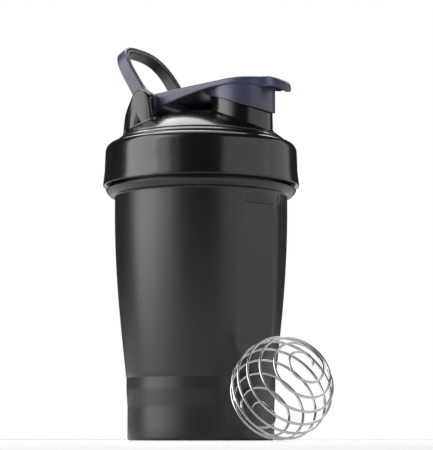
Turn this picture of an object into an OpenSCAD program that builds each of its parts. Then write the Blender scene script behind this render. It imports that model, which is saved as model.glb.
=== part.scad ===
// Protein shaker bottle: cup, screw-on lid with a spout, flip cap, carry loop and a wire whisk ball.
// +Z is up, the origin is the centre of the cup's base, and the spout is on the +X side.

/* [Cup] */
// Radius of the cup at its foot
foot_r = 36.5; // [36:0.05:36.8]
// Radius of the raised ring around the foot
waist_r = 37.1; // [37:0.05:37.2]
// Radius of the cup under its shoulder
cup_r = 43.4; // [43.2:0.05:43.5]
// Thickness of the cup's wall
wall = 2; // [1.6:0.1:2.2]
// Thickness of the cup's floor
floor_t = 2.4; // [2:0.1:3]
// Height of the rim that the gasket seals on
rim_z = 144.8; // [144.3:0.1:144.9]

/* [Grip facets] */
// Angle between the spout's direction and the middle of each flat grip facet
facet_a = 15.5; // [13:0.5:17]
// Distance from the bottle's axis to the facet on the -Y side at its lower end
facet_low = 37.1; // [36.8:0.1:37.3]
// Distance from the bottle's axis to that facet at its upper end
facet_high = 42.2; // [41.9:0.1:42.3]

/* [Lid] */
// Largest radius of the lid's collar
collar_r = 49.4; // [49.1:0.1:49.8]
// Radius of the sphere that the lid's dome is cut from
dome_r = 67; // [66:0.5:67.5]
// Thickness of the dome
dome_t = 2.2; // [1.8:0.1:2.6]
// Lead of the two-start thread
thread_lead = 8; // [7.5:0.1:8.5]

/* [Spout and flip cap] */
// Distance from the bottle's axis to the spout's axis
spout_x = 24.2; // [24:0.1:24.6]
// Outer radius of the spout
spout_r = 15.3; // [15.1:0.1:15.5]
// Slope of the spout's rim and of the cap's skirt
rim_slope = 18; // [15:0.5:19]
// Radius of the cap's round part over the spout
cap_r = 17.3; // [16.9:0.1:17.5]
// Thickness of the cap's top plate
cap_t = 2.2; // [1.8:0.1:2.4]

/* [Hinge and carry loop] */
// Diameter of the hinge pin
pin_d = 4; // [3.5:0.1:4.4]
// Gap between parts that turn on each other
run_gap = 0.3; // [0.25:0.05:0.4]
// Angle that the carry loop leans back from upright
loop_lean = 32; // [28:0.5:34]
// Length of the carry loop from the pin to its top
loop_len = 38; // [37:0.1:38.5]
// Outer width of the carry loop
loop_w = 44; // [43.6:0.1:44.2]

/* [Whisk ball] */
// Outer diameter of the wire ball
ball_d = 49; // [48:0.5:49]
// Diameter of the stainless wire
wire_d = 1.2; // [1:0.1:1.6]
// Number of half turns from pole to pole
half_turns = 19; // [15:2:19]

/* [Hidden] */
$fn = 96;

BLACK = "#1d1e20";
NAVY = "#4a4f66";
RUBBER = "#3b3c40";
STEEL = "#c3c6ca";

// Cup
foot_z = 20.3;             // top of the plain foot
ring_z = 30.7;             // top of the raised ring
flare_z = 31.7;            // start of the flare
flare_end_z = 115;         // height at which the flare has become upright
flare_low_r = 37.3;        // radius at the start of the flare
shoulder_z = 121.6;        // underside of the shoulder that the collar sits over
shoulder_r = 48;           // radius of the shoulder's edge
shoulder_top = 125.3;      // top of the shoulder
base_edge = 1;             // rounding at the edge of the base
base_lift = 1.2;           // hollow under the base
base_ring = 5;             // width of the ring that the cup stands on
corner_r = 8;              // rounding inside, between the floor and the wall
neck_r = 43.7;             // outer radius of the neck
bore_r = cup_r - wall;     // inner radius from the flare's end up to the rim
flare_steps = 12;

// Screw thread, as a ridge that climbs around the neck and one that hangs inside the collar
collar_bore = 45.7;
thread_h = 1.5;            // height of a ridge
thread_root = 0.5;         // depth that a ridge is sunk into its wall
thread_base = 2.4;         // width of a ridge at its root
thread_crest = 1.2;        // width of a ridge at its crest
thread_z = 131.4;          // height at which the neck's ridges start
thread_turn = 330;         // angle that each ridge runs through
thread_step = 7.5;
starts = 2;

// Grip facets
facet_low_z = 45.6;
facet_high_z = 113.3;
facet_dip_z = 115.9;       // deepest part of the groove along a facet's top
facet_dip = 1;             // depth of that groove
facet_top_z = 116.7;
next_low = 39.6;           // the facet on the +Y side leans less
next_high = 42.4;
facet_fade_z = 35;         // height at which a facet has run out into the wall
facet_span = 60;           // width of the tool that cuts a facet

// Lid
collar_z = 126.8;
collar_top = 148.7;
ceiling_z = 146.8;           // underside of the lid that presses on the gasket
dome_z = 98.3;             // centre of the dome's sphere
collar_mid = 48.5;         // radius of the collar's upright side
collar_in = 0.2;           // how much narrower the side is under its rounding
collar_round = 4.6;
dome_foot_r = 43;          // radius at which the dome meets the collar
line_r = 41.2;             // radius of the fine groove around the dome
gasket_gap = 0.05;

// Hinge
hinge = [-20, 0, 168.4];
barrel_r = 5.5;            // radius of the cap's hinge barrel
barrel_w = 36.2;           // width of the cap's hinge barrel
bore_gap = 0.05;           // radial play of the pin in the parts that turn on it
ear_r = 6.2;
ear_in = 22.4;             // inner face of an ear, from the middle plane
ear_t = 4;
ear_back = [-32.6, 149];    // foot of an ear's back edge, as x and z
ear_bulge = [-31, 161];     // point that the back edge swells out to
ear_front = [-10.4, 149];   // foot of the front edge
pin_len = 49.6;

// Spout and cap
spout_top = 169.5;         // height of the rim's middle
spout_wall = 2;
spout_taper = 0.4;
spout_foot = 151.5;
skirt_gap = 0.35;          // play between the spout and the skirt
skirt_t = 0.8;
skirt_low = 166.9;         // height of the middle of the skirt's lower edge
seal_t = 1;                // thickness of the seal that the spout's rim presses on
plug_r = 13;               // radius of the plug above the rim
plug_tip_r = 11;           // radius of the plug's cone at its lower end
plug_depth = 4;            // how far the plug reaches below the rim
plug_bore = 9;
plug_bore_top = 173.5;
apex = [38, 178.4];        // highest point of the cap's top, as x and z
cap_back = -20;            // back end of the cap's top
cap_back_drop = 5.2;
cap_tip = 51.2;
cap_tip_drop = 5;
cap_side = 3.2;            // height of the cap's side over the spout
heel_x = 16;               // where the side starts to grow towards the hinge
cap_heel = 5.2;            // extra height of the side at the cap's back end
taper_x = 42;              // where the side starts to thin towards the tab's tip
tab_r = 6.8;
tab_t = 2.4;
hinge_half = 18;           // half width of the cap beside its hinge
side_wall = 1.9;

// Carry loop, drawn with x across the belt and y along the leg
belt_w = 7.6;              // width of the belt at the pin
belt_top_w = 6;            // width of the belt at the top of the arch
belt_t = (loop_w - barrel_w) / 2 - run_gap;
grip_t = 2;                 // thickness of the liner inside the belt
arch_foot = 16;            // height above the pin at which the arch starts to curve in
arch_power = 0.7;          // below 1, the arch is squarer than an ellipse
arch_steps = 28;
eye_r = 6.2;
flare_r = 11;              // radius of the flare from the eye into the belt
grip_start = 10;           // height above the pin at which the liner starts

// Whisk ball
ball_at = [58.6, -21.9, ball_d / 2];
ball_tilt = 61.3;
ball_turn = -29.4;
ball_spin = 75.3;
pole_gap = 10;             // polar angle at which the wire starts and ends
bead_d = wire_d * 1.08;    // bead that joins one half turn to the next

function arc(c, r, a0, a1, n = 8) =
    [for (i = [0:n]) let (a = a0 + (a1 - a0) * i / n) c + r * [cos(a), sin(a)]];
function lean_point(c, r, p, side) =
    let (v = p - c, a = atan2(v[1], v[0]) + side * acos(r / norm(v))) c + r * [cos(a), sin(a)];
function flare(z) = flare_low_r + (cup_r - flare_low_r) * sin(90 * (z - flare_z) / (flare_end_z - flare_z));
function dome_at(r, radius) = dome_z + sqrt(radius * radius - r * r);

// ---- Cup ----

function cup_side(inset) =
    [for (i = [0:flare_steps])
        let (z = flare_z + (flare_end_z - flare_z) * i / flare_steps) [flare(z) - inset, z]];

module cup_outer() {
    rotate_extrude() polygon(concat(
        [[0, 0]],
        arc([foot_r - base_edge, base_edge], base_edge, -90, 0, 4),
        [[foot_r, foot_z], [waist_r, foot_z + 1.2], [waist_r, ring_z]],
        cup_side(0),
        [[cup_r, shoulder_z], [45.9, shoulder_z + 0.4], [47.3, shoulder_z + 2],
         [shoulder_r, shoulder_top - 0.5], [shoulder_r, shoulder_top], [neck_r, shoulder_top], [neck_r, rim_z], [0, rim_z]]));
}

module cup_cavity() {
    inner_r = foot_r - wall;
    rotate_extrude() polygon(concat(
        [[0, base_lift + floor_t]],
        arc([inner_r - corner_r, base_lift + floor_t + corner_r], corner_r, -90, 0, 6),
        [[inner_r, ring_z]],
        cup_side(wall),
        [[bore_r, rim_z + 1], [0, rim_z + 1]]));
}

// Everything outside one flat facet, moved inwards by inset
module facet_tool(side, inset) {
    far = cup_r + 12;
    low = (side < 0 ? facet_low : next_low) - inset;
    high = (side < 0 ? facet_high : next_high) - inset;
    dip = inset > 0 || side > 0 ? 0 : facet_dip;
    rotate([0, 0, side * facet_a]) translate([0, facet_span / 2, 0]) rotate([90, 0, 0])
        linear_extrude(height = facet_span) polygon([
            [flare(facet_fade_z) - inset, facet_fade_z],
            [low, facet_low_z],
            [high, facet_high_z],
            [high - dip, facet_dip_z],
            [cup_r + 1.4 - inset, facet_top_z],
            [far, facet_top_z],
            [far, facet_fade_z]]);
}

// The solid of the cup with both facets cut, used once for its outside and once for its inside
module with_facets(inset) {
    difference() {
        children();
        intersection() {
            facet_tool(-1, inset);
            facet_half(-1);
        }
        intersection() {
            facet_tool(1, inset);
            facet_half(1);
        }
    }
}

// The half space on one side of the ridge between the facets
module facet_half(side) {
    translate([0, side > 0 ? 0 : -facet_span, 0]) cube([2 * cup_r, facet_span, shoulder_top]);
}

// One ridge of the thread, from wall radius r to crest radius r + dir * thread_h
module thread_ridge(r, dir, z0, a0) {
    n = round(thread_turn / thread_step);
    root = r - dir * thread_root;
    crest = r + dir * thread_h;
    rows = [for (i = [0:n])
        let (a = a0 + thread_turn * i / n, z = z0 + thread_lead * thread_turn * i / n / 360,
             fade = min(1, i / 3, (n - i) / 3), tip = root + (crest - root) * max(fade, 0.3))
        [for (p = [[root, -thread_base / 2], [tip, -thread_crest / 2], [tip, thread_crest / 2],
                   [root, thread_base / 2]])
            [p[0] * cos(a), p[0] * sin(a), z + p[1]]]];
    points = [for (row = rows, p = row) p];
    sides = [for (i = [0:n - 1], k = [0:3])
        let (q = (k + 1) % 4) [4 * i + k, 4 * i + q, 4 * i + 4 + q, 4 * i + 4 + k]];
    ends = [[3, 2, 1, 0], [4 * n, 4 * n + 1, 4 * n + 2, 4 * n + 3]];
    faces = concat(sides, ends);
    flip = [for (f = faces) [for (j = [3:-1:0]) f[j]]];
    polyhedron(points = points, faces = dir > 0 ? faces : flip, convexity = 6);
}

module cup() {
    color(BLACK) {
        difference() {
            with_facets(0) cup_outer();
            with_facets(wall) cup_cavity();
            translate([0, 0, -1]) cylinder(r = foot_r - base_ring, h = 1 + base_lift);
        }
        for (i = [0:starts - 1]) thread_ridge(neck_r, 1, thread_z, 360 * i / starts);
    }
}

// ---- Lid ----

module lid_outer() {
    top_c = [collar_mid - collar_in - collar_round, collar_top - collar_round];
    dome_foot = [dome_foot_r, dome_at(dome_foot_r, dome_r)];
    rotate_extrude() polygon(concat(
        [[0, collar_z], [collar_r - 0.5, collar_z], [collar_r, collar_z + 0.6],
         [collar_r - 0.3, collar_z + 3.5], [collar_mid + 0.1, 135], [collar_mid, 139]],
        arc(top_c, collar_round, 0, 90, 8),
        [[dome_foot_r + 0.3, collar_top - 0.4], dome_foot, [0, dome_foot[1]]]));
    difference() {
        intersection() {
            translate([0, 0, dome_z]) sphere(r = dome_r, $fn = 180);
            translate([0, 0, ceiling_z]) cylinder(r = dome_foot_r - 0.1, h = 30);
        }
        rotate_extrude() translate([line_r, dome_at(line_r, dome_r)]) circle(r = 0.4, $fn = 12);
    }
}

module lid_cavity() {
    inner = dome_r - dome_t;
    translate([0, 0, collar_z - 1]) cylinder(r = collar_bore, h = ceiling_z - collar_z + 1);
    intersection() {
        translate([0, 0, dome_z]) sphere(r = inner, $fn = 180);
        translate([0, 0, ceiling_z - 1]) cylinder(r = bore_r - 0.6, h = 30);
    }
}

module ear(side) {
    c = [hinge[0], hinge[2]];
    y_low = side > 0 ? ear_in : -ear_in - ear_t;
    translate([0, y_low + ear_t, 0]) rotate([90, 0, 0]) linear_extrude(height = ear_t) union() {
        translate(c) circle(r = ear_r);
        polygon([ear_back, ear_bulge, lean_point(c, ear_r, ear_bulge, -1), c,
                 lean_point(c, ear_r, ear_front, 1), ear_front]);
    }
}

// The space above the sloping plane through the spout's axis at height z
module above_slope(z) {
    translate([spout_x, 0, z]) rotate([0, rim_slope, 0]) translate([-60, -60, 0]) cube([120, 120, 60]);
}

module spout() {
    translate([spout_x, 0, spout_foot]) cylinder(r1 = spout_r, r2 = spout_r - spout_taper, h = 26);
}

module lid() {
    color(BLACK) {
        difference() {
            union() {
                lid_outer();
                difference() {
                    for (side = [-1, 1]) ear(side);
                    translate([0, 0, dome_z]) sphere(r = dome_r - 1, $fn = 180);
                }
                difference() {
                    spout();
                    above_slope(spout_top);
                    translate([0, 0, dome_z]) sphere(r = dome_r - 1, $fn = 180);
                }
            }
            lid_cavity();
            translate([spout_x, 0, ceiling_z - 2]) cylinder(r = spout_r - spout_wall, h = 60);
            translate(hinge) rotate([90, 0, 0]) cylinder(d = pin_d, h = pin_len, center = true);
        }
        for (i = [0:starts - 1])
            thread_ridge(collar_bore, -1, thread_z + thread_lead / starts / 2, 360 * i / starts);
    }
}

module lid_gasket() {
    color(RUBBER) translate([0, 0, rim_z + gasket_gap]) difference() {
        cylinder(r = collar_bore - run_gap, h = ceiling_z - rim_z - 2 * gasket_gap);
        translate([0, 0, -1]) cylinder(r = bore_r, h = 5);
    }
}

// ---- Flip cap ----

function cap_top(x) = x < apex[0]
    ? apex[1] - cap_back_drop * pow((apex[0] - x) / (apex[0] - cap_back), 1.25)
    : apex[1] - cap_tip_drop * pow((x - apex[0]) / (cap_tip - apex[0]), 3.2);
function cap_under(x) = cap_top(x) - (x < heel_x
    ? cap_side + cap_heel * pow((heel_x - x) / (heel_x - cap_back), 1.4)
    : x < taper_x ? cap_side
    : cap_side - (cap_side - tab_t) * (x - taper_x) / (cap_tip - taper_x));

cap_xs = [for (i = [0:24]) cap_back + (cap_tip - cap_back) * i / 24];

// Outline of the cap from above, drawn in by inset
module cap_plan(inset) {
    c = [spout_x, 0];
    r = cap_r - inset;
    back = [cap_back, hinge_half - inset];
    tip_c = [cap_tip - tab_r, 0];
    join = lean_point(c, r, back, -1);
    neck = [tip_c[0] - 4.5, tab_r + 0.9 - inset];
    side = [back, join, c + r * [cos(42), sin(42)], neck, tip_c + [0, tab_r - inset]];
    translate(c) circle(r = r);
    translate(tip_c) circle(r = tab_r - inset);
    polygon(concat(side, [for (i = [len(side) - 1:-1:0]) [side[i][0], -side[i][1]]]));
}

module cap_slab(drop) {
    translate([0, 20, 0]) rotate([90, 0, 0]) linear_extrude(height = 40) polygon(concat(
        [for (x = cap_xs) [x, cap_top(x) - drop]],
        [for (i = [len(cap_xs) - 1:-1:0]) [cap_xs[i], drop > 0 ? 140 : cap_under(cap_xs[i])]]));
}

module cap_shell() {
    difference() {
        intersection() {
            cap_slab(0);
            translate([0, 0, 150]) linear_extrude(height = 40) cap_plan(0);
        }
        intersection() {
            cap_slab(cap_t);
            translate([0, 0, 140]) linear_extrude(height = 50) cap_plan(side_wall);
            translate([hinge[0] + barrel_r + 1, -20, 140]) cube([46 - hinge[0] - barrel_r, 40, 50]);
        }
        spout_room();
    }
}

// The space under the cap that the spout and its seal take up
module spout_room() {
    difference() {
        translate([spout_x, 0, 140]) cylinder(r = spout_r + skirt_gap, h = 60);
        above_slope(spout_top + seal_t);
    }
}

// Skirt around the spout, and the plug that enters it, under a solid seat for the seal
module cap_stopper() {
    difference() {
        intersection() {
            translate([spout_x, 0, 150]) cylinder(r = spout_r + skirt_gap + skirt_t, h = 50);
            cap_slab(cap_t / 2);
            above_slope(skirt_low);
        }
        spout_room();
    }
    difference() {
        intersection() {
            translate([spout_x, 0, spout_top - 8]) cylinder(r1 = plug_tip_r, r2 = plug_r, h = 14);
            above_slope(spout_top - plug_depth);
            cap_slab(cap_t / 2);
        }
        translate([spout_x, 0, 140]) cylinder(r = plug_bore, h = plug_bore_top - 140);
    }
}

module flip_cap() {
    color(NAVY) difference() {
        union() {
            cap_shell();
            cap_stopper();
            translate(hinge) rotate([90, 0, 0]) cylinder(r = barrel_r, h = barrel_w, center = true);
        }
        seal_ring(seal_t, 0);
        translate(hinge) rotate([90, 0, 0])
            cylinder(d = pin_d + 2 * bore_gap, h = barrel_w + 2, center = true);
        clear_ears();
    }
}

// Room for the ears and the loop's eyes beside the barrel
module clear_ears() {
    for (side = [-1, 1]) translate([hinge[0], side * (barrel_w / 2 + 10), hinge[2]])
        rotate([90, 0, 0]) cylinder(r = eye_r + 2 * run_gap, h = 20, center = true);
}

module seal_ring(t, trim) {
    translate([spout_x, 0, spout_top]) rotate([0, rim_slope, 0]) difference() {
        cylinder(r = spout_r - trim, h = t);
        translate([0, 0, -1]) cylinder(r = plug_r + 0.3, h = t + 2);
    }
}

module cap_seal() {
    color(RUBBER) translate([0, 0, gasket_gap]) seal_ring(seal_t - gasket_gap, 0.1);
}

// ---- Carry loop ----

module lean_back() {
    translate(hinge) rotate([0, -loop_lean, 0]) children();
}

// The loop's arch, drawn in by inset: straight legs under a squarish curve of half width loop_w / 2
module arch(inset, start) {
    half = loop_w / 2 - inset;
    rise = loop_len - arch_foot - inset;
    polygon(concat([[half, start]], [for (i = [0:arch_steps]) let (a = 180 * i / arch_steps)
        [half * sign(cos(a)) * pow(abs(cos(a)), arch_power),
         arch_foot + rise * pow(sin(a), arch_power)]], [[-half, start]]));
}

// Side view of the loop: an eye around the pin that flares into a belt, tapering towards the top
module loop_side() {
    lean = atan((belt_w - belt_top_w) / 2 / (loop_len + 1));
    across = belt_w / 2 * cos(lean) + flare_r;
    along = sqrt(pow(eye_r + flare_r, 2) - across * across);
    c = [across * cos(lean) - along * sin(lean), across * sin(lean) + along * cos(lean)];
    fillet = arc(c, flare_r, atan2(c[1], c[0]) + 180, 180 + lean, 7);
    side = concat([c * (eye_r - 0.1) / norm(c)], [for (i = [1:7]) fillet[i]], [[belt_top_w / 2, loop_len + 1]]);
    circle(r = eye_r);
    polygon(concat([[0, 0]], side, [for (i = [len(side) - 1:-1:0]) [-side[i][0], side[i][1]]]));
}

// The loop between two insets of the arch
module belt(outer, inner, start) {
    intersection() {
        rotate([90, 0, 90]) linear_extrude(height = 4 * eye_r, center = true) difference() {
            arch(outer, start);
            arch(inner, start - 1);
        }
        rotate([90, 0, 0]) linear_extrude(height = 2 * loop_w, center = true) loop_side();
    }
}

module carry_loop() {
    color(NAVY) lean_back() difference() {
        belt(0, belt_t, -eye_r - 1);
        rotate([90, 0, 90]) linear_extrude(height = 40, center = true) arch(belt_t - grip_t, grip_start);
        rotate([90, 0, 0]) cylinder(d = pin_d + 2 * bore_gap, h = 60, center = true);
    }
}

module loop_grip() {
    color(RUBBER) lean_back() belt(belt_t - grip_t, belt_t, grip_start);
}

module hinge_pin() {
    color(STEEL) translate(hinge) rotate([90, 0, 0]) cylinder(d = pin_d, h = pin_len, center = true);
}

// ---- Whisk ball ----

// The wire's end points of half turn k, alternately on the two sides of the ball's pole
function wire_point(k) =
    let (r = (ball_d - wire_d) / 2, t = pole_gap + (180 - 2 * pole_gap) * k / half_turns)
    r * [(k % 2 == 0 ? 1 : -1) * sin(t), cos(t)];

// Each half turn is half a ring, on the circle where a sloping plane cuts the ball
module half_turn(k) {
    p = wire_point(k);
    q = wire_point(k + 1);
    m = (p + q) / 2;
    translate([m[0], 0, m[1]]) rotate([0, -atan2(p[1] - q[1], p[0] - q[0]), 0])
        mirror([0, k % 2, 0]) rotate_extrude(angle = 180)
            translate([norm(p - q) / 2, 0]) circle(d = wire_d, $fn = 32);
}

module whisk_ball() {
    color(STEEL) translate(ball_at) rotate([0, ball_tilt, ball_turn]) rotate([0, 0, ball_spin]) {
        for (k = [0:half_turns - 1]) half_turn(k);
        for (k = [0:half_turns]) let (p = wire_point(k))
            translate([p[0], 0, p[1]]) sphere(d = bead_d, $fn = 32);
    }
}

cup();
lid();
lid_gasket();
flip_cap();
cap_seal();
carry_loop();
loop_grip();
hinge_pin();
whisk_ball();
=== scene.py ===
"""Looks of the shaker bottle: finer meshes, materials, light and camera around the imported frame."""
import math

import bmesh
import bpy
import numpy as np
from mathutils import Euler, Matrix, Vector


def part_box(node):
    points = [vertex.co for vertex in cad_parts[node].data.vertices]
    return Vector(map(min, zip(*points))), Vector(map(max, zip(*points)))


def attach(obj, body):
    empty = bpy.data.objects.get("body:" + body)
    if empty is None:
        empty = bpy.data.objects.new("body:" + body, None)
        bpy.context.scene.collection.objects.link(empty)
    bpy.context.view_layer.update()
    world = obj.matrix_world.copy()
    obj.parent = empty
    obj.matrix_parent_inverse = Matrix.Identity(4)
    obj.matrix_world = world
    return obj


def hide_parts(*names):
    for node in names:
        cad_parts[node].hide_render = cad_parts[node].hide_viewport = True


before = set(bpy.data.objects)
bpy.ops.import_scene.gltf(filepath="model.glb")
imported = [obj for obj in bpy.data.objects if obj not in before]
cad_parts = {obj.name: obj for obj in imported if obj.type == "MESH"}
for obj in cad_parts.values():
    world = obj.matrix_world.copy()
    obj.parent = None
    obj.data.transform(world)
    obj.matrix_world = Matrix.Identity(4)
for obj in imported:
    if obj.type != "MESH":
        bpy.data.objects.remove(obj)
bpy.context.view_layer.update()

# Sizes below are in millimetres unless a name says otherwise, and the meshes are scaled to metres
MM = 0.001
ARC_STEP = 12          # degrees between the points of a rounded corner
LEAST_ROOM = 1e-6      # sides shorter than this leave no room for an arc
STRAIGHT = 1.57        # half of a corner's angle, in radians, from which it counts as straight
WELD = 1e-7            # metres within which points become one


def box_mm(node):
    """Lowest and highest corner of a CAD node, in millimetres."""
    low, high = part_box(node)
    return np.array(low) / MM, np.array(high) / MM


# ---- Points and curves ----

def unit(v):
    return v / np.linalg.norm(v)


def smooth_step(x, start, end):
    """0 before start, 1 after end, smooth between."""
    t = np.clip((np.asarray(x, float) - start) / (end - start), 0, 1)
    return t * t * (3 - 2 * t)


def soft_min(a, b, k):
    """The smaller of two values, rounded over where they differ by less than k."""
    h = np.clip(k - np.abs(a - b), 0, None) / k
    return np.minimum(a, b) - h * h * k / 4


def soft_max(a, b, k):
    return -soft_min(-a, -b, k)


def rounded(corners, closed=False):
    """The path through corners (x, y, radius), with an arc of that radius in place of each corner."""
    out = []
    for i, (x, y, radius) in enumerate(corners):
        here = np.array((x, y), float)
        if radius == 0 or (not closed and i in (0, len(corners) - 1)):
            out.append(here)
            continue
        back = np.array(corners[i - 1][:2], float) - here
        ahead = np.array(corners[(i + 1) % len(corners)][:2], float) - here
        room = 0.49 * min(np.linalg.norm(back), np.linalg.norm(ahead))
        if room < LEAST_ROOM:
            out.append(here)
            continue
        back, ahead = unit(back), unit(ahead)
        half = math.acos(np.clip(back @ ahead, -1, 1)) / 2
        if half > STRAIGHT:
            out.append(here)
            continue
        reach = min(radius / math.tan(half), room)
        centre = here + unit(back + ahead) * reach / math.cos(half)
        start, end = here + back * reach - centre, here + ahead * reach - centre
        turn = math.pi - 2 * half
        steps = max(2, math.ceil(math.degrees(turn) / ARC_STEP))
        for s in np.linspace(0, 1, steps + 1):
            mix = start * math.sin((1 - s) * turn) + end * math.sin(s * turn)
            out.append(centre + mix / math.sin(turn))
    return np.array(out)


def refined(path, step_at, closed=False):
    """The path with no stretch longer than step_at of its middle point."""
    ends = np.roll(path, -1, 0) if closed else path[1:]
    out = []
    for a, b in zip(path, ends):
        pieces = max(1, math.ceil(np.linalg.norm(b - a) / step_at((a + b) / 2)))
        out += [a + (b - a) * k / pieces for k in range(pieces)]
    if not closed:
        out.append(path[-1])
    return np.array(out)


# ---- Meshes ----

def grid(rings, wrap_rows=False):
    """Quads between rings of points; each ring is closed, and wrap_rows joins the last ring to the first."""
    rings = np.asarray(rings, float)
    rows, cols = rings.shape[:2]
    index = np.arange(rows * cols).reshape(rows, cols)
    lower = index if wrap_rows else index[:-1]
    upper = np.roll(index, -1, 0) if wrap_rows else index[1:]
    faces = np.stack([lower, np.roll(lower, -1, 1), np.roll(upper, -1, 1), upper], -1)
    faces = faces.reshape(-1, 4).tolist()
    return rings.reshape(-1, 3), faces


def capped(rings):
    """A grid whose first and last rings are closed with flat faces."""
    points, faces = grid(rings)
    cols = np.shape(rings)[1]
    last = len(points) - cols
    return points, faces + [list(range(cols))[::-1], list(range(last, len(points)))]


def level_ring(radius, angles, z, centre=(0, 0)):
    """Points at height z around the upright axis through centre; radius may be one for each angle."""
    x, y = centre[0] + radius * np.cos(angles), centre[1] + radius * np.sin(angles)
    return np.stack([x, y, np.full(len(angles), z)], 1)


def revolved(path, angles, centre=(0, 0), wrap_rows=False):
    """The path of (radius, height) points turned about the upright axis through centre."""
    return grid([level_ring(r, angles, z, centre) for r, z in path], wrap_rows)


def even_angles(count):
    return np.linspace(0, 2 * math.pi, count, endpoint=False)


def make_mesh(name, shells):
    """One mesh object of closed shells, each given as points in millimetres and faces."""
    mesh_data = bpy.data.meshes.new(name)
    points, faces, base = [], [], 0
    for shell_points, shell_faces in shells:
        points.append(np.asarray(shell_points) * MM)
        faces += [[base + i for i in face] for face in shell_faces]
        base += len(shell_points)
    mesh_data.from_pydata(np.vstack(points).tolist(), [], faces)
    edit = bmesh.new()
    edit.from_mesh(mesh_data)
    bmesh.ops.remove_doubles(edit, verts=edit.verts, dist=WELD)
    bmesh.ops.dissolve_degenerate(edit, edges=edit.edges, dist=WELD)
    bmesh.ops.recalc_face_normals(edit, faces=edit.faces)
    edit.to_mesh(mesh_data)
    edit.free()
    mesh_data.shade_smooth()
    made = bpy.data.objects.new(name, mesh_data)
    bpy.context.scene.collection.objects.link(made)
    return made


def cut(target, tool_shells):
    """Takes closed shells away from an object, and leaves plain mesh behind."""
    tool = make_mesh("tool", tool_shells)
    change = target.modifiers.new("cut", "BOOLEAN")
    change.operation = "DIFFERENCE"
    change.solver = "EXACT"
    change.object = tool
    bpy.context.view_layer.update()
    done = bpy.data.meshes.new_from_object(target.evaluated_get(bpy.context.evaluated_depsgraph_get()))
    target.modifiers.clear()
    old = target.data
    target.data = done
    bpy.data.meshes.remove(old)
    bpy.data.objects.remove(tool)


def sharpen(target, degrees):
    """Edges that turn by more than this stay sharp, and the rest are smooth."""
    target.data.set_sharp_from_angle(angle=math.radians(degrees))


def finish_piece(made, node, body, material):
    """Stands the piece in for its CAD node."""
    made.data.materials.clear()
    made.data.materials.append(material)
    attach(made, body)
    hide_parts(node)


# ---- Materials ----

def add(tree, kind, **inputs):
    """A new node with these values on its sockets; an underscore stands for a space in a socket's name."""
    node = tree.nodes.new(kind)
    for name, value in inputs.items():
        node.inputs[name.replace("_", " ")].default_value = value
    return node


def surface(name, colour, shade, roughness, spread, grain, depth, **sockets):
    """A moulded or drawn surface: colour drifts towards shade, roughness varies by spread, and a fine
    grain of that size in millimetres and depth stands on it. sockets are set on the shader itself."""
    made = bpy.data.materials.new(name)
    made.use_nodes = True
    tree = made.node_tree
    shader = tree.nodes["Principled BSDF"]
    for socket, value in sockets.items():
        shader.inputs[socket.replace("_", " ")].default_value = value
    place = tree.nodes.new("ShaderNodeTexCoord")
    drift = add(tree, "ShaderNodeTexNoise", Scale=45, Detail=4, Roughness=0.6)
    tint = tree.nodes.new("ShaderNodeValToRGB")
    tint.color_ramp.elements[0].color = (*colour, 1)
    tint.color_ramp.elements[1].color = (*shade, 1)
    tint.color_ramp.elements[0].position = 0.35
    tint.color_ramp.elements[1].position = 0.75
    wear = add(tree, "ShaderNodeTexNoise", Scale=160, Detail=5, Roughness=0.65)
    gloss = add(tree, "ShaderNodeMapRange")
    gloss.inputs["To Min"].default_value = roughness - spread
    gloss.inputs["To Max"].default_value = roughness + spread
    skin = add(tree, "ShaderNodeTexNoise", Scale=1 / (grain * MM), Detail=3, Roughness=0.5)
    bump = add(tree, "ShaderNodeBump", Strength=1, Distance=depth * MM)
    for texture in (drift, wear, skin):
        tree.links.new(place.outputs["Object"], texture.inputs["Vector"])
    tree.links.new(drift.outputs["Fac"], tint.inputs["Fac"])
    tree.links.new(tint.outputs["Color"], shader.inputs["Base Color"])
    tree.links.new(wear.outputs["Fac"], gloss.inputs["Value"])
    tree.links.new(gloss.outputs["Result"], shader.inputs["Roughness"])
    tree.links.new(skin.outputs["Fac"], bump.inputs["Height"])
    tree.links.new(bump.outputs["Normal"], shader.inputs["Normal"])
    return made


black_plastic = surface("black_plastic", (0.0042, 0.0042, 0.0044), (0.0058, 0.0058, 0.0060),
                        0.19, 0.03, 0.9, 0.004, IOR=1.5)
cup_plastic = surface("cup_plastic", (0.0042, 0.0042, 0.0044), (0.0058, 0.0058, 0.0060),
                      0.33, 0.03, 0.9, 0.004, IOR=1.5)
navy_plastic = surface("navy_plastic", (0.036, 0.041, 0.076), (0.042, 0.048, 0.086),
                       0.33, 0.05, 0.45, 0.003, IOR=1.48)
seal_rubber = surface("seal_rubber", (0.030, 0.031, 0.033), (0.040, 0.041, 0.043),
                      0.62, 0.08, 0.35, 0.015, IOR=1.45)
grip_rubber = surface("grip_rubber", (0.008, 0.008, 0.009), (0.012, 0.012, 0.013),
                      0.42, 0.07, 0.40, 0.005, IOR=1.47)
wire_steel = surface("wire_steel", (0.44, 0.46, 0.46), (0.52, 0.54, 0.54),
                     0.20, 0.06, 0.25, 0.004, Metallic=1.0)

# ---- Cup ----

FOOT_R, WAIST_R, CUP_R, WALL = 36.5, 37.1, 43.4, 2.0
FLOOR_TOP, BASE_LIFT = 3.6, 1.2
FOOT_Z, RING_Z, FLARE_Z, FLARE_END_Z = 20.3, 30.7, 31.7, 115.0
FLARE_LOW_R = 37.3
NECK_R, BORE_R = 43.7, 41.4
SHOULDER = [(CUP_R, 121.6, 0.7), (45.9, 122.0, 0.8), (47.3, 123.6, 1.5), (48.0, 124.9, 0.6)]
SHOULDER_TOP = 125.3
RIM_Z = box_mm("cup")[1][2]
FACET_TURN = math.radians(15.5)
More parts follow.
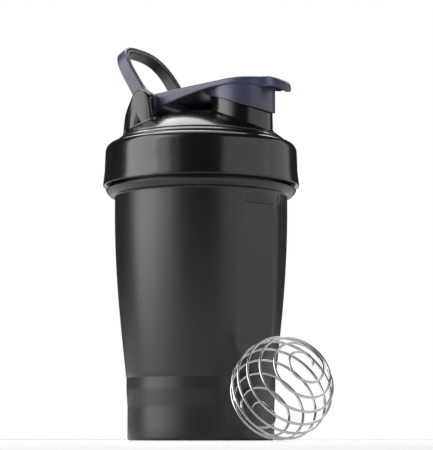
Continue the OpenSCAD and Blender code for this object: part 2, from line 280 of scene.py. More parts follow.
# Distance of a facet from the axis at each height; above the last one there is no facet
FACET_Z = [35, 45.6, 116.1, 116.7]
FACET_D = {-1: [37.69, 37.1, 42.15, 44.8], 1: [37.69, 39.6, 42.4, 44.8]}
FACET_EDGE = 0.35                   # how softly a facet's edges are rounded
MIN_LEAN, FAR_AWAY = 0.3, 1e3       # a facet is left out where its plane leans more than this
DIP_Z, DIP = (114.6, 115.9), 1.2    # heights and depth of the groove along the first facet's top
DIP_TURN = np.radians((28, 32))     # where that groove fades out
SLOT = 0.9                          # depth of the slot beside the ridge between the facets
SLOT_START, SLOT_END = (0.1, 1.2), (2.2, 3.0)    # its two sides, as distances past the ridge
LINE, LINE_W = 0.25, 0.3            # depth and width of the line beside the first facet
SLOT_FADE_Z = (42, 60)              # heights over which the slot and the line fade in
THREAD_Z, THREAD_LEAD, THREAD_H = 131.4, 8.0, 1.5
THREAD_FLANK, THREAD_FADE = (0.5, 1.3), 0.4
THREAD_SWEEP = math.radians(330)
ON_WALL = 0.01                      # points this near to a threaded wall's radius are on it


def flare(z):
    """Outer radius of the cup's flared wall at height z."""
    turn = math.pi / 2 * (z - FLARE_Z) / (FLARE_END_Z - FLARE_Z)
    return FLARE_LOW_R + (CUP_R - FLARE_LOW_R) * np.sin(turn)


def thread_height(angles, z, start_z):
    """Height of the two-start ridge above its wall at each angle, at height z."""
    rise = np.zeros(len(angles))
    for first in (0, math.pi):
        along = (angles - first) % (2 * math.pi)
        off = np.abs(z - start_z - THREAD_LEAD * along / (2 * math.pi))
        ridge = 1 - smooth_step(off, *THREAD_FLANK)
        run_out = 1 - smooth_step(along, THREAD_SWEEP - THREAD_FADE, THREAD_SWEEP)
        fade = smooth_step(along, 0, THREAD_FADE) * run_out
        rise = np.maximum(rise, THREAD_H * ridge * fade * (along < THREAD_SWEEP))
    return rise


def with_facets(radius, z, angles, inset):
    """Radius at each angle after the two grip facets have cut into it."""
    r = np.full(len(angles), float(radius))
    if not FACET_Z[0] < z < FACET_Z[-1]:
        return r
    aside = np.abs((angles + math.pi) % (2 * math.pi) - math.pi)
    dip = DIP * np.interp(z, [*DIP_Z, FACET_Z[-1]], [0, 1, 1]) * (1 - smooth_step(aside, *DIP_TURN))
    planes = []
    for side in (-1, 1):
        distance = np.interp(z, FACET_Z, FACET_D[side]) - inset - (dip if inset == 0 and side < 0 else 0)
        lean = np.cos(angles - side * FACET_TURN)
        planes.append(np.where(lean > MIN_LEAN, distance / np.maximum(lean, MIN_LEAN), FAR_AWAY))
    if inset == 0:
        fade = smooth_step(z, *SLOT_FADE_Z)
        past = (planes[0] - planes[1]) / (2 * math.sin(FACET_TURN))
        slot = fade * SLOT * smooth_step(past, *SLOT_START) * (1 - smooth_step(past, *SLOT_END))
        line = fade * LINE * np.exp(-((planes[0] - radius) / LINE_W) ** 2) * (angles < 0)
        r = r - slot - line
        planes[1] = planes[1] - slot
    for plane in planes:
        r = soft_min(r, plane, FACET_EDGE)
    return r


def cup_profile():
    """The cup's outside from its base to its rim and its inside back down, as (radius, height) points."""
    wall = [(flare(z), z) for z in np.linspace(FLARE_Z, FLARE_END_Z, 40)]
    foot = rounded([(0, BASE_LIFT, 0), (FOOT_R - 5, BASE_LIFT, 0.8), (FOOT_R - 4.6, 0, 0.6),
                    (FOOT_R, 0, 1.2), (FOOT_R, FOOT_Z - 4, 30), (WAIST_R, FOOT_Z + 5, 30),
                    (WAIST_R, RING_Z, 1), (*wall[0], 0)])
    neck = rounded([(*wall[-1], 0), *SHOULDER, (47.8, SHOULDER_TOP, 0.4), (NECK_R, SHOULDER_TOP, 0.5),
                    (NECK_R, RIM_Z, 0.5), (BORE_R + 1, RIM_Z, 0)])
    bore = rounded([(BORE_R + 1, RIM_Z, 0), (BORE_R, RIM_Z, 0.5), (BORE_R, FLARE_END_Z, 0)])
    inner_foot = FOOT_R - WALL
    bottom = rounded([(inner_foot + 0.5, RING_Z, 0), (inner_foot, RING_Z - 3, 4),
                      (inner_foot, FLOOR_TOP, 8), (0, FLOOR_TOP, 0)])
    inner_wall = [(r - WALL, z) for r, z in wall[::-1]]
    return np.vstack([foot, wall[1:-1], neck]), np.vstack([bore, inner_wall, bottom])


def cup_step(point):
    """Longest stretch of the cup's profile around a point: short over the thread and the facets' ends."""
    z = point[1]
    if SHOULDER_TOP < z < RIM_Z:
        return 0.35
    if 112.5 < z < 117.5:
        return 0.2
    return 1.2 if FACET_Z[0] < z < 116 else 6


def make_cup():
    faceted = np.radians(np.linspace(-41, 41, 206))
    plain = np.radians(np.linspace(41, 319, 198))[1:-1]
    angles = np.concatenate([faceted, plain])
    rings = []
    for path, inset in zip(cup_profile(), (0, WALL)):
        for r, z in refined(path, cup_step):
            radius = with_facets(r, z, angles, inset)
            if abs(r - NECK_R) < ON_WALL and z > SHOULDER_TOP:
                radius = radius + thread_height(angles, z, THREAD_Z)
            rings.append(level_ring(radius, angles, z))
    made = make_mesh("cup_shell", [grid(rings)])
    sharpen(made, 50)
    finish_piece(made, "cup", "bottle", cup_plastic)


# ---- Lid ----

COLLAR_Z, COLLAR_TOP, COLLAR_R, COLLAR_MID, COLLAR_BORE = 126.8, 148.7, 49.4, 48.5, 45.7
CEILING_Z, COLLAR_IN, COLLAR_ROUND = 146.8, 0.2, 4.6
DOME_FOOT_R, LINE_R = 43.0, 41.2     # radii of the dome's foot and of the fine groove above it
GROOVE = [(0.28, 0.08), (0.2, 0.4), (-0.2, 0.4), (-0.28, 0.08)]    # its section, as distances out and in
DOME_Z, DOME_R, DOME_T = 98.3, 67.0, 2.2
SPOUT_X, SPOUT_R, SPOUT_WALL, SPOUT_TOP = 24.2, 15.3, 2.0, 169.5
SPOUT_TAPER = 0.4 / 26
RIM_SLOPE = math.tan(math.radians(18))
HINGE = np.array((-20.0, 0.0, 168.4))
EAR_R, EAR_IN, EAR_T = 6.2, 22.4, 4.6
EAR_BACK, EAR_BULGE, EAR_FRONT = (-32.6, 149.0), (-30.8, 163.6), (-10.4, 149.0)
EAR_EDGE, EAR_INNER_EDGE = 1.2, 0.6
EAR_MID, EAR_BULGE_R, EAR_SWELL = -18.5, 23.0, 3.0
FOOT_FILLET = 1.8           # rounding where the spout and the ears stand on the dome


def on_sphere(x, y, radius):
    """Height over (x, y) of a sphere around the dome's centre."""
    return DOME_Z + np.sqrt(radius ** 2 - x ** 2 - y ** 2)


def dome_fillet(point, outward):
    """Arc from a wall at point (x, y), facing outward, down on to the dome: (distance out, height) pairs."""
    along = -(point @ outward)
    aside = point[0] * outward[1] - point[1] * outward[0]
    section = math.sqrt(DOME_R ** 2 - aside ** 2)
    centre = np.array((FOOT_FILLET, 0.0))
    centre[1] = DOME_Z + math.sqrt((section + FOOT_FILLET) ** 2 - (centre[0] - along) ** 2)
    down = unit(np.array((along, DOME_Z)) - centre)
    end = math.atan2(down[1], down[0]) % (2 * math.pi)
    turns = np.linspace(math.pi, end, 8)
    return centre + FOOT_FILLET * np.stack([np.cos(turns), np.sin(turns)], 1)


def collar_and_dome():
    """The lid without its spout and ears, as one revolved shell with the thread on its bore."""
    def on_dome(r, depth=0):
        a = math.asin(r / DOME_R)
        return (DOME_R - depth) * math.sin(a), DOME_Z + (DOME_R - depth) * math.cos(a)

    lip = [on_dome(r) for r in np.linspace(DOME_FOOT_R, LINE_R + 0.35, 6)]
    groove = [on_dome(LINE_R + aside, depth) for aside, depth in GROOVE]
    dome = lip + groove + [on_dome(r) for r in np.linspace(LINE_R - 0.35, 0, 40)]
    under_r = DOME_R - DOME_T
    under_edge = math.asin((BORE_R - 0.6) / under_r)
    under = [(under_r * math.sin(a), DOME_Z + under_r * math.cos(a))
             for a in np.linspace(0, under_edge, 30)]
    turns = np.radians(np.linspace(0, 84, 14))
    shoulder = [(COLLAR_MID - COLLAR_IN - COLLAR_ROUND + COLLAR_ROUND * math.cos(a),
                 COLLAR_TOP - COLLAR_ROUND + COLLAR_ROUND * math.sin(a)) for a in turns]
    outside = np.vstack([
        rounded([(COLLAR_BORE, COLLAR_Z, 0), (COLLAR_R - 0.1, COLLAR_Z, 0.5),
                 (COLLAR_R, COLLAR_Z + 1.2, 0.8), (COLLAR_R - 0.3, COLLAR_Z + 3.5, 3),
                 (COLLAR_MID + 0.1, 135, 10), (COLLAR_MID, 139, 10), (*shoulder[0], 0)]),
        shoulder[1:],
        rounded([(*shoulder[-1], 0), (DOME_FOOT_R + 0.5, COLLAR_TOP - 0.1, 0.15),
                 (DOME_FOOT_R + 0.3, COLLAR_TOP - 0.4, 0.1), (*dome[0], 0)])[1:]])
    inside = rounded([(*under[-1], 0), (under[-1][0], CEILING_Z, 0.3), (COLLAR_BORE, CEILING_Z, 0.6),
                      (COLLAR_BORE, COLLAR_Z, 0.4), (COLLAR_BORE + 0.8, COLLAR_Z, 0)])
    angles = even_angles(288)
    rings = []
    path = np.vstack([outside[1:], dome[1:], under[1:-1], refined(inside, lambda p: 0.5)])
    for r, z in path:
        threaded = abs(r - COLLAR_BORE) < ON_WALL and COLLAR_Z < z < CEILING_Z
        depth = thread_height(angles, z, THREAD_Z + THREAD_LEAD / 4) if threaded else 0
        rings.append(level_ring(r - depth, angles, z))
    return grid(rings, wrap_rows=True)


def spout_shell():
    """The spout as a tube with a sloping rim, rounded on to the dome at its foot."""
    inner, middle = SPOUT_R - SPOUT_WALL, np.array((SPOUT_X, 0))
    columns = []
    for turn in even_angles(192):
        out = np.array((math.cos(turn), math.sin(turn)))
        rim = SPOUT_TOP - RIM_SLOPE * SPOUT_R * out[0]
        fillet = dome_fillet(middle + out * SPOUT_R, out) + (SPOUT_R, 0)
        root = middle + out * inner
        under = on_sphere(*root, DOME_R - DOME_T) + 0.2
        narrow = SPOUT_TAPER * (rim - fillet[0][1])
        top = rounded([(inner, under, 0), (inner, rim, 0.6), (SPOUT_R - narrow, rim, 0.6), (*fillet[0], 0)])
        end = fillet[-1]
        column = np.vstack([top[:-1], fillet, [(end[0] - 0.3, end[1] - 0.8), (inner + 0.8, under + 0.4)]])
        columns.append([(SPOUT_X + r * out[0], r * out[1], z) for r, z in column])
    return grid(np.transpose(np.array(columns), (1, 0, 2)), wrap_rows=True)


def ear_outline():
    """Side view of an ear as x and z, anticlockwise from its front foot."""
    centre = HINGE[[0, 2]]

    def tangent(p, side):
        v = np.array(p) - centre
        return math.atan2(v[1], v[0]) + side * math.acos(EAR_R / np.linalg.norm(v))

    start, end = tangent(EAR_FRONT, 1), tangent(EAR_BULGE, -1) % (2 * math.pi)
    top = [centre + EAR_R * np.array((math.cos(a), math.sin(a))) for a in np.linspace(start, end, 22)]
    back = rounded([(*top[-1], 0), (*EAR_BULGE, 12), (*EAR_BACK, 0)])[1:]
    return refined(np.vstack([[EAR_FRONT], top, back]), lambda p: 1.0)


def ear_swell(x):
    """How far an ear's outer face falls back from its highest line, at x."""
    return soft_min((x - EAR_MID) ** 2 / (2 * EAR_BULGE_R), EAR_SWELL, 0.5)


def ear_shells(side):
    """One ear with rounded edges, and the fillet around its foot."""
    outline = ear_outline()
    before, after = np.roll(outline, 1, 0), np.roll(outline, -1, 0)
    tangents = after - before
    tangents[0], tangents[-1] = outline[1] - outline[0], outline[-1] - outline[-2]
    normals = np.stack([tangents[:, 1], -tangents[:, 0]], 1)
    normals /= np.linalg.norm(normals, axis=1)[:, None]
    # Rings from the inner face to the outer: distance in from the outline, depth, whether the bulge counts
    turns = np.linspace(0, math.pi / 2, 7)
    inner_edge = [(EAR_INNER_EDGE * (1 - math.sin(t)), EAR_INNER_EDGE * (1 - math.cos(t)), 0)
                  for t in turns]
    outer_edge = [(EAR_EDGE * (1 - math.cos(t)), EAR_T - EAR_EDGE * (1 - math.sin(t)), 1) for t in turns]
    face = [(inset, EAR_T, 1) for inset in (2.2, 3, 3.8, 4.6, 5.3, 5.8)]
    rings = []
    for inset, depth, bulged in inner_edge + outer_edge + face:
        flat = outline - inset * normals
        swell = bulged * ear_swell(flat[:, 0])
        rings.append(np.stack([flat[:, 0], side * (EAR_IN + depth - swell), flat[:, 1]], 1))
    rings = np.array(rings)
    rings[..., 2] = np.maximum(rings[..., 2], on_sphere(rings[..., 0], rings[..., 1], DOME_R - 1))
    columns = []
    mirror = np.array((1, side))
    for point, out in foot_loop(outline):
        point, out = point * mirror, out * mirror
        arc = dome_fillet(point, out)
        start, end = arc[0], arc[-1]
        arc = np.vstack([[(-0.4, start[1])], arc, [(end[0] - 0.2, end[1] - 0.8), (-0.6, end[1] - 0.6)]])
        columns.append([(*(point + out * d), z) for d, z in arc])
    fillet = grid(np.transpose(np.array(columns), (1, 0, 2)), wrap_rows=True)
    return [capped(rings), fillet]


def foot_loop(outline):
    """Where an ear meets the dome, seen from above: points and the directions that they face."""
    y0, y1 = EAR_IN, EAR_IN + EAR_T
    middle = (y0 + y1) / 2
    heights = outline[:, 1] - on_sphere(outline[:, 0], middle, DOME_R)
    half = len(outline) // 2

    def crossing(part):
        order = np.argsort(heights[part])
        return np.interp(FOOT_FILLET, heights[part][order], outline[part, 0][order])

    x_front, x_back = crossing(slice(None, half)), crossing(slice(half, None))
    xs = np.linspace(x_front - 1, x_back + 1, 15)
    bulge = [(x, y1 - ear_swell(x), 0) for x in xs]
    front = (x_front, bulge[0][1] - 0.6, 0.5)
    back = (x_back, bulge[-1][1] - 0.6, 0.5)
    corners = [front, *bulge, back, (x_back, y0, 0.6), (x_front, y0, 0.6)]
    loop = refined(rounded(corners, closed=True), lambda p: 1.2, closed=True)
    tangents = np.roll(loop, -1, 0) - np.roll(loop, 1, 0)
    outward = np.stack([tangents[:, 1], -tangents[:, 0]], 1)
    outward /= np.linalg.norm(outward, axis=1)[:, None]
    centre = loop.mean(0)
    outward *= np.sign(((loop - centre) * outward).sum(1))[:, None]
    return list(zip(loop, outward))


def make_lid():
    made = make_mesh("lid_shell", [collar_and_dome()])
    bore_r, low, high = SPOUT_R - SPOUT_WALL + 0.4, 140, 175
    bore = [(0, low), (bore_r, low), (bore_r, high), (0, high)]
    cut(made, [revolved(bore, even_angles(96), (SPOUT_X, 0))])
    extras = make_mesh("lid_top", [spout_shell(), *ear_shells(1), *ear_shells(-1)])
    join(made, extras)
    sharpen(made, 50)
    finish_piece(made, "lid", "lid", black_plastic)


def join(target, other):
    """Adds the other object's mesh to the target's."""
    edit = bmesh.new()
    edit.from_mesh(target.data)
    edit.from_mesh(other.data)
    edit.to_mesh(target.data)
    edit.free()
    target.data.shade_smooth()
    bpy.data.objects.remove(other)


# ---- Small rings and the pin ----

def make_gasket():
    low, high = box_mm("lid_gasket")
    z0, z1, outer = low[2], high[2], high[0]
    path = rounded([(BORE_R, z0, 0.4), (outer, z0, 0.4), (outer, z1, 0.4), (BORE_R, z1, 0.4)], closed=True)
    made = make_mesh("gasket_ring", [revolved(path, even_angles(192), wrap_rows=True)])
    finish_piece(made, "lid_gasket", "gasket", seal_rubber)


def make_cap_seal():
    inner, outer, low, high, edge = 13.3, SPOUT_R - 0.1, 0.05, 1.0, 0.25
    path = rounded([(inner, low, edge), (outer, low, edge), (outer, high, edge), (inner, high, edge)],
                   closed=True)
    points, faces = revolved(path, even_angles(160), wrap_rows=True)
    tilt = Matrix.Rotation(math.atan(RIM_SLOPE), 3, "Y")
    points = points @ np.array(tilt).T + (SPOUT_X, 0, SPOUT_TOP)
    made = make_mesh("cap_seal_ring", [(points, faces)])
    finish_piece(made, "cap_seal", "cap", seal_rubber)


def lying_along_y(points):
    """Turns points drawn about the upright axis to lie along Y through the hinge."""
    return np.stack([points[:, 0], -points[:, 2], points[:, 1]], 1) + HINGE


def make_pin():
    low, high = box_mm("hinge_pin")
    r, half = (high[2] - low[2]) / 2, (high[1] - low[1]) / 2
    path = rounded([(0, -half, 0), (r * 0.6, -half, 0.5), (r, -half + 0.7, 0.5), (r, half - 0.7, 0.5),
                    (r * 0.6, half, 0.5), (0, half, 0)])
    points, faces = revolved(path, even_angles(64))
    made = make_mesh("hinge_rod", [(lying_along_y(points), faces)])
    finish_piece(made, "hinge_pin", "lid", wire_steel)


# ---- Flip cap ----

CAP_R, CAP_T, SIDE_WALL = 16.9, 2.2, 1.9
CAP_BACK, CAP_TIP, APEX = -20.0, 51.2, (38.0, 178.4)
BACK_DROP, BACK_POWER = 5.2, 1.25   # how far the top falls towards the hinge, and how that grows
TIP_DROP, TIP_POWER = 5.0, 3.2      # the same towards the tab's tip
CAP_SIDE = 3.2                      # height of the cap's side over the spout
HEEL_X, CAP_HEEL, HEEL_POWER = 16.0, 5.2, 1.4      # where its side grows towards the hinge, how much, how
TAB_HEEL_X, TAPER_X = SPOUT_X + 8, 43.0            # where it grows towards the tab and then tapers
TAB_HEEL, TAB_R, TAB_T = 2.0, 6.8, 2.6
HINGE_HALF = 18.0
SKIRT_R, SKIRT_T, SKIRT_LOW = SPOUT_R + 1.15, 0.8, 166.9
OVERHANG, OVERHANG_FADE = 0.5, 0.8  # how far the cap stands out past CAP_R, and the turn over which it ends
BACK_BLEND, TAB_BLEND = 3.0, 8.0    # how softly the outline's sides run into its back and into the tab
NOSE, NOSE_SHARE, NOSE_DEPTH = 1.9, 0.55, 1.25     # rounding of the top edge, at most this share of the side
RUN_UP = 0.2                        # last stretch of the top before that rounding
PLUG_R, PLUG_TIP_R, PLUG_DEPTH, PLUG_BORE, PLUG_BORE_TOP = 13.0, 11.0, 4.0, 9.0, 173.5
BARREL_R, BARREL_HALF, BORE = 5.5, 18.1, 2.05
CROWN = 0.7                # how far the cap's top swells above its edge


def cap_top(x):
    """Height of the edge of the cap's top at x."""
    ahead = np.clip((x - APEX[0]) / (CAP_TIP - APEX[0]), 0, 1)
    behind = np.clip((APEX[0] - x) / (APEX[0] - CAP_BACK), 0, 1)
    return APEX[1] - TIP_DROP * ahead ** TIP_POWER - BACK_DROP * behind ** BACK_POWER


def cap_side(x):
    """Height of the cap's side at x."""
    heel = CAP_HEEL * np.clip((HEEL_X - x) / (HEEL_X - CAP_BACK), 0, 1) ** HEEL_POWER
    ahead = TAB_HEEL * float(smooth_step(x, TAB_HEEL_X, TAPER_X))
    taper = (CAP_SIDE + TAB_HEEL - TAB_T) * np.clip((x - TAPER_X) / (CAP_TIP - TAPER_X), 0, 1)
    return CAP_SIDE + heel + ahead - taper


def cap_reach(turn):
    """Distance from the spout's axis to the cap's outline in the direction turn."""
    turn = abs((turn + math.pi) % (2 * math.pi) - math.pi)
    c, s = math.cos(turn), math.sin(turn)
    corner = np.array((CAP_BACK - SPOUT_X, HINGE_HALF))
    side_turn = math.atan2(corner[1], corner[0]) - math.acos(CAP_R / np.linalg.norm(corner))
    if turn > side_turn:
        side = CAP_R + OVERHANG * (1 - smooth_step(turn, side_turn, side_turn + OVERHANG_FADE))
        side = side / max(math.cos(turn - side_turn), 0.05)
        back = (CAP_BACK - SPOUT_X) / min(c, -0.05)
        return float(soft_min(side, back, BACK_BLEND))
    tab_x = CAP_TIP - TAB_R - SPOUT_X
    if s * tab_x > c * TAB_R:
        tab = TAB_R / s
    else:
        tab = tab_x * c + math.sqrt(TAB_R ** 2 - (tab_x * s) ** 2)
    return float(soft_max(CAP_R + OVERHANG, tab, TAB_BLEND))


def cap_turns():
    """Directions around the spout's axis, closer together where the outline is far away."""
    back = math.atan2(HINGE_HALF, SPOUT_X - CAP_BACK)
    front = np.linspace(0, math.pi / 2, 72, endpoint=False)
    side = np.linspace(math.pi / 2, math.pi - back, 60, endpoint=False)
    rear = np.linspace(math.pi - back, math.pi, 40)
    half = np.concatenate([front, side, rear])
    return np.concatenate([half, -half[-2:0:-1]])


def cap_column(turn):
    """One column of the cap's surface, from the middle of its top round to the middle of the plug."""
    c = math.cos(turn)
    reach = cap_reach(turn)

    def x_at(r):
        return SPOUT_X + r * c

    def top_at(r):
        return cap_top(x_at(r)) + CROWN * (1 - (r / reach) ** 2)

    side = cap_side(x_at(reach))
    nose = min(NOSE, NOSE_SHARE * side)
    run_up = reach - nose - RUN_UP
    surface_top = [(r, top_at(r)) for r in np.linspace(0, run_up, 28)[:-1]]

    # Round the edge, down the side and up under the top, unless the skirt leaves no room for a pocket there
    top = cap_top(x_at(reach))
    low = top - side
    room = max(reach - SIDE_WALL - SKIRT_R - 0.2, 0)
    pocket = float(smooth_step(room, 0.2, 2.0))
    fillet = 0.2 + min(3.3 * float(smooth_step(-c, 0.1, 0.9)), 0.6 * room)
    rim = max(reach - SIDE_WALL, SKIRT_R + 0.22)
    rim_top = low + pocket * max(cap_top(x_at(rim)) - CAP_T - low, 0)
    flat = rim_top + (cap_top(x_at(SKIRT_R)) - CAP_T - rim_top) * pocket
    high = top_at(reach - nose)
    fall = high - top + NOSE_DEPTH * nose
    top_edge = [(reach - nose * (1 - math.cos(a)), high - fall * (1 - math.sin(a)))
                for a in np.radians(np.linspace(80, 0, 9))]
    under_edge = rounded([(*top_edge[-1], 0), (reach - 0.1, low, 0.55), (rim, low, 0.1),
                          (rim - 0.01 * pocket, rim_top, 0.1), (SKIRT_R + fillet, flat, 0)])
    edge = np.vstack([[(run_up, top_at(run_up))], top_edge, under_edge[1:]])
    skirt_root = [(SKIRT_R + fillet + fillet * math.cos(a), flat - fillet + fillet * math.sin(a))
                  for a in np.linspace(math.pi / 2, math.pi, 6)]

    # Down the skirt, up inside it to the spout's rim, and round the plug
    skirt_end = SKIRT_LOW - RIM_SLOPE * SKIRT_R * c
    seat = SPOUT_TOP + 1 - RIM_SLOPE * SPOUT_R * c
    tip = SPOUT_TOP - PLUG_DEPTH - RIM_SLOPE * (PLUG_TIP_R + 0.5) * c
    inside = rounded([
        (SKIRT_R, min(skirt_root[-1][1], skirt_end + 1.2), 0), (SKIRT_R, skirt_end, 0.3),
        (SKIRT_R - SKIRT_T, skirt_end, 0.3), (SKIRT_R - SKIRT_T, seat, 0.2),
        (PLUG_R, seat + RIM_SLOPE * (SPOUT_R - PLUG_R) * c, 0.2), (PLUG_TIP_R + 0.6, tip, 0.5),
        (PLUG_BORE, tip + RIM_SLOPE * 2.5 * c, 0.5), (PLUG_BORE, PLUG_BORE_TOP, 1.5), (0, PLUG_BORE_TOP, 0)])
    return np.vstack([surface_top, even(edge, 44), skirt_root, even(inside, 90)])


def even(path, count):
    """The path resampled to count points, evenly spaced along it."""
    path = np.array(path)
    far = np.concatenate([[0], np.cumsum(np.linalg.norm(np.diff(path, axis=0), axis=1))])
    at = np.linspace(0, far[-1], count)
    return np.stack([np.interp(at, far, path[:, k]) for k in (0, 1)], 1)


def make_flip_cap():
    columns = []
    for turn in cap_turns():
        c, s = math.cos(turn), math.sin(turn)
        columns.append([(SPOUT_X + r * c, r * s, z) for r, z in cap_column(turn)])
    shell = grid(np.transpose(np.array(columns), (1, 0, 2)))
    barrel_path = rounded([(BORE, -BARREL_HALF, 0.3), (BARREL_R, -BARREL_HALF, 0.6),
                           (BARREL_R, BARREL_HALF, 0.6), (BORE, BARREL_HALF, 0.3)], closed=True)
    barrel_points, barrel_faces = revolved(barrel_path, even_angles(72), wrap_rows=True)
    made = make_mesh("flip_cap_shell", [shell, (lying_along_y(barrel_points), barrel_faces)])
    sharpen(made, 60)
    finish_piece(made, "flip_cap", "cap", navy_plastic)


# ---- Carry loop ----

LOOP_LEAN, LOOP_LEN, LOOP_HALF = math.radians(32), 38.0, 22.0
BELT_W, BELT_TOP_W, BELT_T, GRIP_T = 7.6, 6.0, 3.6, 2.0
GRIP_NARROW = 0.25          # how much the liner stands back from each edge of the belt
ARCH_FOOT, ARCH_POWER, EYE_R, FLARE_R, GRIP_START = 16.0, 0.70, 6.2, 11.0, 10.0


def loop_half_width(y):
    """Half the loop's width across, at height y above the pin."""
    lean = math.atan((BELT_W - BELT_TOP_W) / 2 / (LOOP_LEN + 1))
    across = BELT_W / 2 * math.cos(lean) + FLARE_R
    along = math.sqrt((EYE_R + FLARE_R) ** 2 - across ** 2)
    cx = across * math.cos(lean) - along * math.sin(lean)
    cy = across * math.sin(lean) + along * math.cos(lean)
    eye_end = cy * EYE_R / (EYE_R + FLARE_R)
    flare_end = cy - FLARE_R * math.sin(lean)
    if y < eye_end:
        return math.sqrt(max(EYE_R ** 2 - y ** 2, 1e-4))
    if y < flare_end:
        return cx - math.sqrt(FLARE_R ** 2 - (y - cy) ** 2)
    return BELT_W / 2 - y * math.tan(lean)


def arch_points(inset, turns):
    """The arch over the legs as side and height, inset from its outer face."""
    half, rise = LOOP_HALF - inset, LOOP_LEN - ARCH_FOOT - inset
    c, s = np.cos(turns), np.sin(turns)
    side = half * np.sign(c) * np.abs(c) ** ARCH_POWER
    return np.stack([side, ARCH_FOOT + rise * np.abs(s) ** ARCH_POWER], 1)


def loop_stations(start):
    """Pairs of outer and inner points along the loop, as side and height, from one leg to the other.
    Each leg begins at height start, or with its round eye when start is below the pin."""
    fine = np.linspace(0, math.pi, 3001)
    outer, inner = arch_points(0, fine), arch_points(BELT_T, fine)
    length = np.concatenate([[0], np.cumsum(np.linalg.norm(np.diff(outer, axis=0), axis=1))])
    at = np.interp(np.linspace(0, length[-1], 90), length, np.arange(len(fine)))
    pick = np.round(at).astype(int)
    if start < 0:
        eye = -EYE_R * np.cos(np.linspace(0.05, math.pi / 2, 14))
        leg = np.concatenate([eye, np.linspace(0, 12, 26)[1:], np.linspace(12, ARCH_FOOT, 5)[1:-1]])
    else:
        leg = np.linspace(start, ARCH_FOOT, 8)[:-1]
    legs = [(np.array((LOOP_HALF, y)), np.array((LOOP_HALF - BELT_T, y))) for y in leg]
    arch = list(zip(outer[pick], inner[pick]))
    mirror = np.array((-1, 1))
    other_leg = [(a * mirror, b * mirror) for a, b in legs[::-1]]
    return legs + arch + other_leg


def swept_loop(start, near, far_at, corner, narrow=0):
    """Sweeps a rounded rectangle along the loop, from depth near to depth far_at(height)."""
    rings = []
    for outer, inner in loop_stations(start):
        half = loop_half_width(outer[1]) - narrow
        far = far_at(outer[1])
        soft = min(corner, 0.45 * half, 0.45 * (far - near))
        section = rounded([(-half, near, soft), (half, near, soft), (half, far, soft), (-half, far, soft)],
                          closed=True)
        section = spread_sides(section, half, (near + far) / 2)
        inward = (inner - outer) / BELT_T
        rings.append([(across, *(outer + inward * depth)) for across, depth in section])
    points, faces = capped(rings)
    lean = np.array(Matrix.Rotation(-LOOP_LEAN, 3, "Y"))
    return points @ lean.T + HINGE, faces


def spread_sides(section, half, depth):
    """The section with an extra point in the middle of its two narrow sides, so that they shade flat."""
    quarter = len(section) // 4
    return np.vstack([section[:2 * quarter], (half, depth), section[2 * quarter:], (-half, depth)])


def make_loop():
    depth = BELT_T - GRIP_T

    def belt_depth(y):
        return depth if y > GRIP_START - 0.2 else BELT_T

    belt = make_mesh("carry_loop_belt", [swept_loop(-1, 0, belt_depth, 0.7)])
    hole, hole_faces = revolved([(0, -30), (BORE, -30), (BORE, 30), (0, 30)], even_angles(48))
    cut(belt, [(lying_along_y(hole), hole_faces)])
    belt.data.shade_smooth()
    sharpen(belt, 55)
    finish_piece(belt, "carry_loop", "loop", navy_plastic)
    grip = make_mesh("loop_liner", [swept_loop(GRIP_START, depth, lambda y: BELT_T, 0.6, GRIP_NARROW)])
    sharpen(grip, 60)
    finish_piece(grip, "loop_grip", "loop", grip_rubber)


# ---- Whisk ball ----

BALL_D, WIRE_D, HALF_TURNS, POLE_GAP = 49.0, 1.2, 19, math.radians(10)
BALL_AT = np.array((58.6, -21.9, BALL_D / 2))
BALL_TILT, BALL_TURN, BALL_SPIN = map(math.radians, (61.3, -29.4, 75.3))


def tube(path, radius, sides=14):
    """A round wire along the path, with domed ends."""
    tangents = np.gradient(path, axis=0)
    tangents /= np.linalg.norm(tangents, axis=1)[:, None]
    normal = unit(np.cross(tangents[0], path[0]))
    turns = even_angles(sides)
    rings = []
    for point, tangent in zip(path, tangents):
        normal = unit(normal - tangent * (normal @ tangent))
        across = np.cross(tangent, normal)
        rings.append(point + radius * (np.outer(np.cos(turns), normal) + np.outer(np.sin(turns), across)))
    ends = []
    for which, sign in ((0, -1), (-1, 1)):
        middle, tangent = path[which], tangents[which]
        dome = [middle + (rings[which] - middle) * math.cos(a) + sign * tangent * radius * math.sin(a)
                for a in np.radians((25, 50, 70, 84))]
        ends.append(dome)
    return capped(np.array(ends[0][::-1] + rings + ends[1]))


def make_ball():
    r = (BALL_D - WIRE_D) / 2
    along = np.linspace(0, 1, 60 * HALF_TURNS + 1)
    polar = POLE_GAP + (math.pi - 2 * POLE_GAP) * along
    around = math.pi * HALF_TURNS * along
    path = r * np.stack([np.sin(polar) * np.cos(around), np.sin(polar) * np.sin(around), np.cos(polar)], 1)
    turn = (Matrix.Rotation(BALL_TURN, 3, "Z") @ Matrix.Rotation(BALL_TILT, 3, "Y")
            @ Matrix.Rotation(BALL_SPIN, 3, "Z"))
    points, faces = tube(path, WIRE_D / 2)
    made = make_mesh("whisk_wire", [(points @ np.array(turn).T + BALL_AT, faces)])
    finish_piece(made, "whisk_ball", "ball", wire_steel)


# ---- Stage, light and camera ----

VIEW_TURN = math.radians(32)
TOWARDS_CAMERA = Vector((math.sin(VIEW_TURN), -math.cos(VIEW_TURN), 0))
CAMERA_FAR, CAMERA_LIFT = 0.900, 0.001     # metres
CAMERA_UP, CAMERA_ASIDE = map(math.radians, (6.76342, 0.49337))
SENSOR, LENS = 36, 144
FLOOR_HALF, FLOOR_Z = 1.4, -0.0003         # metres; the floor lies just clear of the bottle
LIGHT_AIM = Vector((0, 0, 0.1))
ROOM_LIGHT = 0.035         # strength of the room's light on the bottle
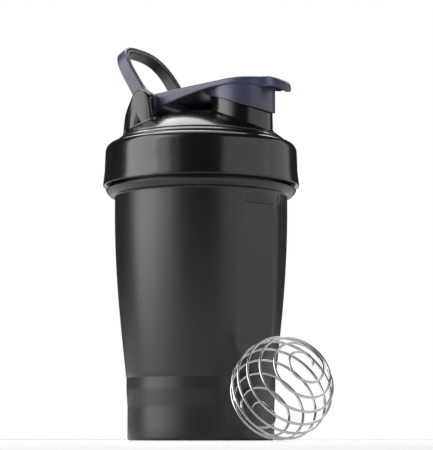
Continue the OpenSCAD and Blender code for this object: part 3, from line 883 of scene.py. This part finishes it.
# Turn from the camera's direction to the right and rise in degrees, distance, width and height in
# metres, brightness
SOFTBOXES = {
    "left_box": (-76, 18, 1.3, 1.0, 1.9, 4.6),
    "left_edge": (-46, 18, 1.35, 0.4, 1.9, 2.6),
    "left_fade": (-31, 18, 1.4, 0.26, 1.9, 0.6),
    "right_box": (55, 11, 1.5, 1.66, 1.4, 1.25),
    "right_rear": (106, 11, 1.5, 1.2, 1.4, 1.1),
    "back_box": (180, 58, 1.2, 1.1, 0.8, 3.0),
    "ceiling": (180, 68, 2.0, 1.7, 2.2, 1.5),
}


def make_stage():
    """A plain pale floor."""
    pale = bpy.data.materials.new("pale_floor")
    pale.use_nodes = True
    tree = pale.node_tree
    shader = tree.nodes["Principled BSDF"]
    shader.inputs["Roughness"].default_value = 0.9
    shader.inputs["Specular IOR Level"].default_value = 0.1
    speckle = add(tree, "ShaderNodeTexNoise", Scale=30, Detail=3)
    tint = tree.nodes.new("ShaderNodeValToRGB")
    tint.color_ramp.elements[0].color = (0.82, 0.82, 0.82, 1)
    tint.color_ramp.elements[1].color = (0.86, 0.86, 0.86, 1)
    tree.links.new(speckle.outputs["Fac"], tint.inputs["Fac"])
    tree.links.new(tint.outputs["Color"], shader.inputs["Base Color"])
    mesh_data = bpy.data.meshes.new("floor")
    corners = [(FLOOR_HALF * x, FLOOR_HALF * y, FLOOR_Z) for x, y in ((-1, -1), (1, -1), (1, 1), (-1, 1))]
    mesh_data.from_pydata(corners, [], [(0, 1, 2, 3)])
    floor = bpy.data.objects.new("floor", mesh_data)
    floor.data.materials.append(pale)
    bpy.context.scene.collection.objects.link(floor)


def softbox(name, turn, rise, distance, width, tall, brightness):
    """An area light that faces the bottle, placed as SOFTBOXES says."""
    data = bpy.data.lights.new(name, "AREA")
    data.shape = "RECTANGLE"
    data.size, data.size_y = width, tall
    data.energy = brightness * math.pi * width * tall
    lamp = bpy.data.objects.new(name, data)
    lamp.visible_camera = False
    turn, rise = math.radians(turn), math.radians(rise)
    level = Matrix.Rotation(turn, 3, "Z") @ TOWARDS_CAMERA
    out = level * math.cos(rise) + Vector((0, 0, math.sin(rise)))
    lamp.location = LIGHT_AIM + out * distance
    lamp.rotation_euler = (-out).to_track_quat("-Z", "Y").to_euler()
    bpy.context.scene.collection.objects.link(lamp)


def make_lights():
    """Soft boxes to the left, the right and above, in a dim room that the camera sees as plain white."""
    world = bpy.data.worlds.new("studio")
    world.use_nodes = True
    tree = world.node_tree
    dim = tree.nodes["Background"]
    dim.inputs["Color"].default_value = (1, 1, 1, 1)
    dim.inputs["Strength"].default_value = ROOM_LIGHT
    white = add(tree, "ShaderNodeBackground", Color=(1, 1, 1, 1), Strength=1.0)
    pick = tree.nodes.new("ShaderNodeMixShader")
    path = tree.nodes.new("ShaderNodeLightPath")
    tree.links.new(path.outputs["Is Camera Ray"], pick.inputs["Fac"])
    tree.links.new(dim.outputs["Background"], pick.inputs[1])
    tree.links.new(white.outputs["Background"], pick.inputs[2])
    tree.links.new(pick.outputs["Shader"], tree.nodes["World Output"].inputs["Surface"])
    bpy.context.scene.world = world
    for name, values in SOFTBOXES.items():
        softbox(name, *values)


def make_camera():
    """Level with the bottle's foot, turned towards its right, and looking up at it."""
    data = bpy.data.cameras.new("camera")
    data.sensor_width, data.lens = SENSOR, LENS
    data.clip_start, data.clip_end = 0.05, 50
    camera = bpy.data.objects.new("camera", data)
    camera.location = TOWARDS_CAMERA * CAMERA_FAR + Vector((0, 0, CAMERA_LIFT))
    camera.rotation_euler = Euler((math.pi / 2 + CAMERA_UP, 0, VIEW_TURN - CAMERA_ASIDE), "XYZ")
    bpy.context.scene.collection.objects.link(camera)
    bpy.context.scene.camera = camera


make_cup()
make_lid()
make_gasket()
make_flip_cap()
make_cap_seal()
make_loop()
make_pin()
make_ball()
make_stage()
make_lights()
make_camera()
bpy.context.scene.view_settings.view_transform = "Standard"
